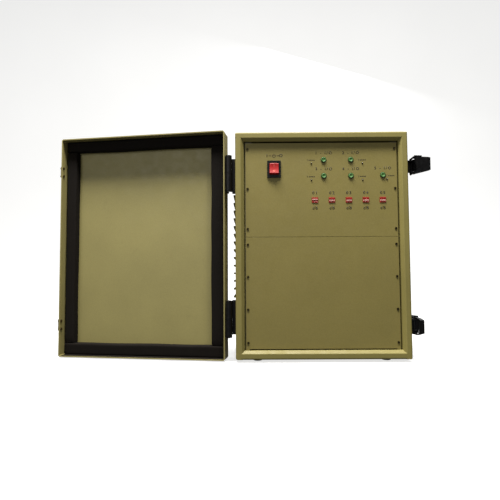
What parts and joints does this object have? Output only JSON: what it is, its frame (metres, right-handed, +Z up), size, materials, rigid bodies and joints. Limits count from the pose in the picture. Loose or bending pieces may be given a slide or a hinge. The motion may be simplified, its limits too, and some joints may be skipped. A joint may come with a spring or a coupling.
{
  "type": "cellular signal booster",
  "caption": "Olive metal cabinet of a cellular signal booster, door open on side hinges, with power rocker, green push buttons, red attenuator switches, over-centre latches and cooling fins.",
  "frame": {"origin": "on the ground below the middle of the front frame, 5.5 mm behind its front face", "axes": "+X to the right as seen from the front, +Y towards the back and the wall, +Z up"},
  "size_m": [0.7219, 0.2048, 0.4305],
  "materials": {
    "cabinet_paint": "olive-drab paint on cast aluminium",
    "heatsink_alloy": "painted finned extrusion",
    "foot_rubber": "black moulded rubber",
    "rail_steel": "zinc-plated",
    "panel_paint": "satin olive paint on sheet",
    "screw_dark": "dark plated screws",
    "rocker_black": "black moulded",
    "rocker_red": "red, glossy",
    "button_bezel": "dark green",
    "button_green": "muted green",
    "lamp_lens": "dark unlit lens",
    "dip_red": "brick red moulded",
    "slider_white": "off-white",
    "board_green": "glass-epoxy board",
    "module_alloy": "plain milled alloy",
    "nickel_brass": "nickel-plated",
    "gland_black": "black nylon",
    "stud_brass": "bare brass",
    "bracket_steel": "zinc-plated",
    "hinge_black": "black satin",
    "pin_steel": "plain steel",
    "fitting_screws": "dark plated screws",
    "door_paint": "satin olive paint on sheet",
    "gasket_foam": "black closed-cell foam",
    "keeper_brass": "yellow-passivated",
    "latch_black": "black satin"
  },
  "bodies": {
    "cabinet": {"cabinet_shell": "cabinet_paint", "rear_heatsink": "heatsink_alloy", "front_frame": "cabinet_paint", "rubber_feet": "foot_rubber", "panel_rails": "rail_steel", "upper_panel": "panel_paint", "lower_panel": "panel_paint", "panel_screws": "screw_dark", "rocker_housing": "rocker_black", "button_bezels": "button_bezel", "alarm_lamps": "lamp_lens", "dip_housings": "dip_red", "control_board": "board_green", "power_supply": "module_alloy", "band_modules": "module_alloy", "duplexers": "module_alloy", "antenna_connectors": "nickel_brass", "cable_gland": "gland_black", "ground_stud": "stud_brass", "wall_brackets": "bracket_steel", "cabinet_hinge_leaves": "hinge_black", "hinge_pins": "pin_steel", "cabinet_screws": "fitting_screws", "latch_bases": "latch_black", "latch_pivot_pins": "pin_steel"},
    "door": {"door_tray": "door_paint", "door_gasket": "gasket_foam", "door_hinge_leaves": "hinge_black", "door_screws": "keeper_brass", "latch_keepers": "keeper_brass"},
    "upper_lever": {"upper_latch_lever": "latch_black"},
    "lower_lever": {"lower_latch_lever": "latch_black"},
    "upper_hook": {"upper_latch_hook": "latch_black"},
    "lower_hook": {"lower_latch_hook": "latch_black"},
    "rocker": {"rocker_key": "rocker_red"},
    "button_1": {"button_cap_1": "button_green"},
    "button_2": {"button_cap_2": "button_green"},
    "button_3": {"button_cap_3": "button_green"},
    "button_4": {"button_cap_4": "button_green"},
    "button_5": {"button_cap_5": "button_green"},
    "dip_1_1": {"dip_slider_1_1": "slider_white"},
    "dip_1_2": {"dip_slider_1_2": "slider_white"},
    "dip_1_3": {"dip_slider_1_3": "slider_white"},
    "dip_1_4": {"dip_slider_1_4": "slider_white"},
    "dip_2_1": {"dip_slider_2_1": "slider_white"},
    "dip_2_2": {"dip_slider_2_2": "slider_white"},
    "dip_2_3": {"dip_slider_2_3": "slider_white"},
    "dip_2_4": {"dip_slider_2_4": "slider_white"},
    "dip_3_1": {"dip_slider_3_1": "slider_white"},
    "dip_3_2": {"dip_slider_3_2": "slider_white"},
    "dip_3_3": {"dip_slider_3_3": "slider_white"},
    "dip_3_4": {"dip_slider_3_4": "slider_white"},
    "dip_4_1": {"dip_slider_4_1": "slider_white"},
    "dip_4_2": {"dip_slider_4_2": "slider_white"},
    "dip_4_3": {"dip_slider_4_3": "slider_white"},
    "dip_4_4": {"dip_slider_4_4": "slider_white"},
    "dip_5_1": {"dip_slider_5_1": "slider_white"},
    "dip_5_2": {"dip_slider_5_2": "slider_white"},
    "dip_5_3": {"dip_slider_5_3": "slider_white"},
    "dip_5_4": {"dip_slider_5_4": "slider_white"}
  },
  "joints": [
    {"name": "door_hinge", "type": "hinge", "parent": "cabinet", "child": "door", "pos_m": [-0.1726, 0.0043, 0.2135], "axis": [0, 0, 1], "range_deg": [0, 188.7]},
    {"name": "upper_lever_pivot", "type": "hinge", "parent": "cabinet", "child": "upper_lever", "pos_m": [0.1718, 0.027, 0.365], "axis": [0, 0, 1], "range_deg": [0, 90]},
    {"name": "upper_hook_pin", "type": "hinge", "parent": "upper_lever", "child": "upper_hook", "pos_m": [0.17678, 0.03118, 0.365], "axis": [0, 0, 1], "range_deg": [-90, 0]},
    {"name": "lower_lever_pivot", "type": "hinge", "parent": "cabinet", "child": "lower_lever", "pos_m": [0.1718, 0.027, 0.0635], "axis": [0, 0, 1], "range_deg": [-90, 0]},
    {"name": "lower_hook_pin", "type": "hinge", "parent": "lower_lever", "child": "lower_hook", "pos_m": [0.16762, 0.03198, 0.0635], "axis": [0, 0, 1], "range_deg": [0, 80]},
    {"name": "rocker_tilt", "type": "hinge", "parent": "cabinet", "child": "rocker", "pos_m": [-0.0877, 0.0041, 0.3558], "axis": [1, 0, 0], "range_deg": [0, 14]},
    {"name": "button_1_press", "type": "slide", "parent": "cabinet", "child": "button_1", "axis": [0, 1, 0], "range_m": [0, 0.0015], "stiffness_N_per_m": 300, "springref_m": -0.0003},
    {"name": "button_2_press", "type": "slide", "parent": "cabinet", "child": "button_2", "axis": [0, 1, 0], "range_m": [0, 0.0015], "stiffness_N_per_m": 300, "springref_m": -0.0003},
    {"name": "button_3_press", "type": "slide", "parent": "cabinet", "child": "button_3", "axis": [0, 1, 0], "range_m": [0, 0.0015], "stiffness_N_per_m": 300, "springref_m": -0.0003},
    {"name": "button_4_press", "type": "slide", "parent": "cabinet", "child": "button_4", "axis": [0, 1, 0], "range_m": [0, 0.0015], "stiffness_N_per_m": 300, "springref_m": -0.0003},
    {"name": "button_5_press", "type": "slide", "parent": "cabinet", "child": "button_5", "axis": [0, 1, 0], "range_m": [0, 0.0015], "stiffness_N_per_m": 300, "springref_m": -0.0003},
    {"name": "dip_1_1_slide", "type": "slide", "parent": "cabinet", "child": "dip_1_1", "axis": [0, 0, 1], "range_m": [-0.0019, 0]},
    {"name": "dip_1_2_slide", "type": "slide", "parent": "cabinet", "child": "dip_1_2", "axis": [0, 0, 1], "range_m": [-0.0019, 0]},
    {"name": "dip_1_3_slide", "type": "slide", "parent": "cabinet", "child": "dip_1_3", "axis": [0, 0, 1], "range_m": [-0.0019, 0]},
    {"name": "dip_1_4_slide", "type": "slide", "parent": "cabinet", "child": "dip_1_4", "axis": [0, 0, 1], "range_m": [-0.0019, 0]},
    {"name": "dip_2_1_slide", "type": "slide", "parent": "cabinet", "child": "dip_2_1", "axis": [0, 0, 1], "range_m": [0, 0.0019]},
    {"name": "dip_2_2_slide", "type": "slide", "parent": "cabinet", "child": "dip_2_2", "axis": [0, 0, 1], "range_m": [0, 0.0019]},
    {"name": "dip_2_3_slide", "type": "slide", "parent": "cabinet", "child": "dip_2_3", "axis": [0, 0, 1], "range_m": [0, 0.0019]},
    {"name": "dip_2_4_slide", "type": "slide", "parent": "cabinet", "child": "dip_2_4", "axis": [0, 0, 1], "range_m": [0, 0.0019]},
    {"name": "dip_3_1_slide", "type": "slide", "parent": "cabinet", "child": "dip_3_1", "axis": [0, 0, 1], "range_m": [0, 0.0019]},
    {"name": "dip_3_2_slide", "type": "slide", "parent": "cabinet", "child": "dip_3_2", "axis": [0, 0, 1], "range_m": [0, 0.0019]},
    {"name": "dip_3_3_slide", "type": "slide", "parent": "cabinet", "child": "dip_3_3", "axis": [0, 0, 1], "range_m": [0, 0.0019]},
    {"name": "dip_3_4_slide", "type": "slide", "parent": "cabinet", "child": "dip_3_4", "axis": [0, 0, 1], "range_m": [0, 0.0019]},
    {"name": "dip_4_1_slide", "type": "slide", "parent": "cabinet", "child": "dip_4_1", "axis": [0, 0, 1], "range_m": [0, 0.0019]},
    {"name": "dip_4_2_slide", "type": "slide", "parent": "cabinet", "child": "dip_4_2", "axis": [0, 0, 1], "range_m": [0, 0.0019]},
    {"name": "dip_4_3_slide", "type": "slide", "parent": "cabinet", "child": "dip_4_3", "axis": [0, 0, 1], "range_m": [0, 0.0019]},
    {"name": "dip_4_4_slide", "type": "slide", "parent": "cabinet", "child": "dip_4_4", "axis": [0, 0, 1], "range_m": [0, 0.0019]},
    {"name": "dip_5_1_slide", "type": "slide", "parent": "cabinet", "child": "dip_5_1", "axis": [0, 0, 1], "range_m": [0, 0.0019]},
    {"name": "dip_5_2_slide", "type": "slide", "parent": "cabinet", "child": "dip_5_2", "axis": [0, 0, 1], "range_m": [0, 0.0019]},
    {"name": "dip_5_3_slide", "type": "slide", "parent": "cabinet", "child": "dip_5_3", "axis": [0, 0, 1], "range_m": [0, 0.0019]},
    {"name": "dip_5_4_slide", "type": "slide", "parent": "cabinet", "child": "dip_5_4", "axis": [0, 0, 1], "range_m": [0, 0.0019]}
  ],
  "couplings": [
    {"joint": "upper_hook_pin", "follows": "upper_lever_pivot", "ratio": -1},
    {"joint": "lower_hook_pin", "follows": "lower_lever_pivot", "ratio": -0.8888}
  ]
}
